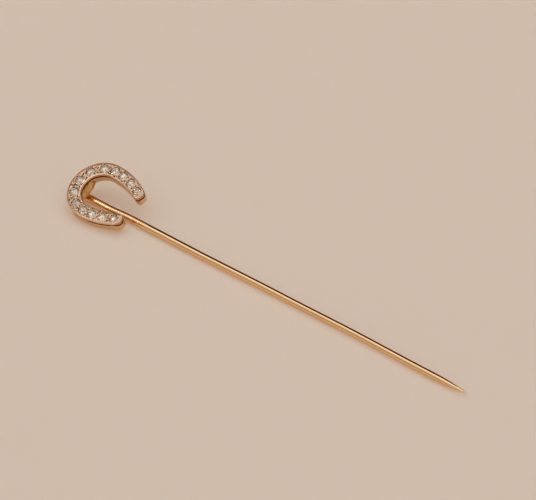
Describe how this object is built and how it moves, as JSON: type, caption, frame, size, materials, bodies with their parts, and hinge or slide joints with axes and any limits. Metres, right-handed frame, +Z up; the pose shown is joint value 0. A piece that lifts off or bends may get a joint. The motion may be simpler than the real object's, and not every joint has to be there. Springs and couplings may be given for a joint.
{
  "type": "stick pin",
  "caption": "Stick pin with a horseshoe head set with a row of cut stones and a long straight pointed stem.",
  "frame": {"origin": "on the surface that the pin lies on, below the middle of its box", "axes": "+X along the stem towards its point, +Z up from the surface, the raised arm of the horseshoe towards +Y"},
  "size_m": [0.062, 0.0082, 0.0046],
  "materials": {
    "gold": "polished",
    "white_metal": "polished",
    "cut_stone": "faceted"
  },
  "bodies": {
    "root": {"gold_mount": "gold", "white_setting": "white_metal", "stone_01": "cut_stone", "stone_02": "cut_stone", "stone_03": "cut_stone", "stone_04": "cut_stone", "stone_05": "cut_stone", "stone_06": "cut_stone", "stone_07": "cut_stone", "stone_08": "cut_stone", "stone_09": "cut_stone", "stone_10": "cut_stone", "stone_11": "cut_stone", "stone_12": "cut_stone", "stone_13": "cut_stone"}
  },
  "joints": []
}
